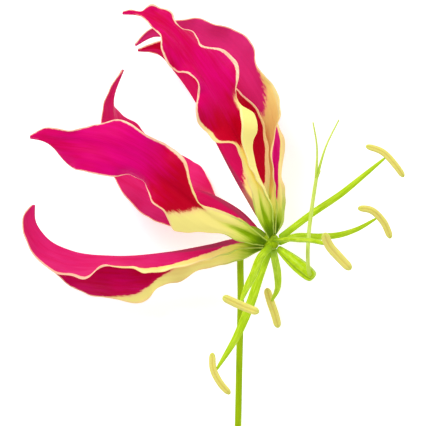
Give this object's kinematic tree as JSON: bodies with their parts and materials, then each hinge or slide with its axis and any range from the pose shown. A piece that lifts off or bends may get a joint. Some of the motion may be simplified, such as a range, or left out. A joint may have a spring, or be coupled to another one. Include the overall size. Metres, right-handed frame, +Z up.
{
  "type": "glory lily flower",
  "caption": "Cut glory lily bloom lying down: swept-back crimson tepals with wavy yellow edges, spreading green stamens, a sharply bent style and a bare hooked stem.",
  "frame": {"origin": "middle of the space the flower takes up, on the surface it lies on", "axes": "+Z up from the surface, +Y from the stem's cut end towards the bloom, +X the way the stamens point"},
  "size_m": [0.096, 0.1247, 0.0566],
  "materials": {
    "tepal_crimson": "satin petal, crimson to yellow",
    "stem_green": "smooth green stalk",
    "filament_green": "smooth yellow-green",
    "anther_yellow": "dry, powdery with pollen",
    "style_green": "smooth pale green"
  },
  "bodies": {
    "root": {"stem": "stem_green", "tepal_upper_near": "tepal_crimson", "tepal_upper_side": "tepal_crimson", "tepal_upper_far": "tepal_crimson", "tepal_left_near": "tepal_crimson", "tepal_left_far": "tepal_crimson", "tepal_lower_side": "tepal_crimson", "filament_upper_side": "filament_green", "filament_far_right": "filament_green", "filament_near_right": "filament_green", "filament_far_left": "filament_green", "filament_near_left": "filament_green", "filament_lower_side": "filament_green", "anther_upper_side": "anther_yellow", "anther_far_right": "anther_yellow", "anther_near_right": "anther_yellow", "anther_far_left": "anther_yellow", "anther_near_left": "anther_yellow", "anther_lower_side": "anther_yellow", "ovary": "filament_green", "style": "style_green"}
  },
  "joints": []
}
